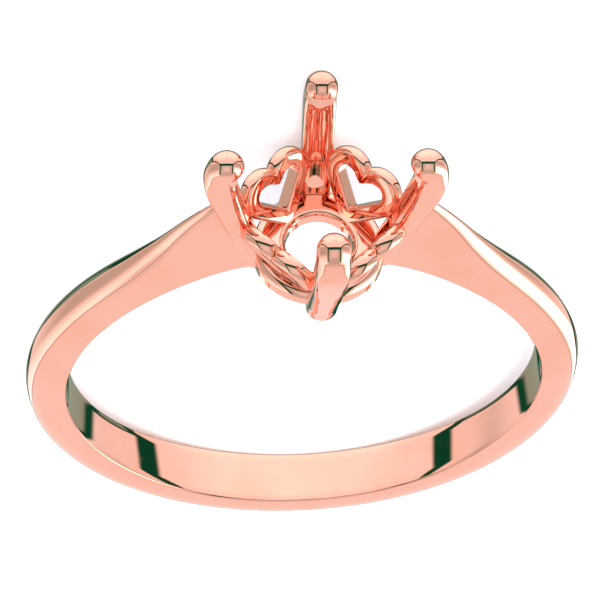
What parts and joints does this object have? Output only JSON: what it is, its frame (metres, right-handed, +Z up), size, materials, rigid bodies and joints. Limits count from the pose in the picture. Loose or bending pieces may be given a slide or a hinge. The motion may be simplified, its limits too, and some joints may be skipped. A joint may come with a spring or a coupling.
{
  "type": "solitaire engagement ring mount",
  "caption": "Polished rose gold finger ring with tapered band and open claw head with pierced hearts; holds one round stone.",
  "frame": {"origin": "centre of the bounding box's bottom, on the surface that the ring lies on", "axes": "+Z up, +Y from the back of the band towards the head, X across; the ring lies on its side, its finger axis leaning 6.7 degrees from Z because the head rests on one claw"},
  "size_m": [0.02, 0.024, 0.0071],
  "materials": {
    "rose_gold": "polished rose gold"
  },
  "bodies": {
    "root": {"ring_mount": "rose_gold"}
  },
  "joints": []
}
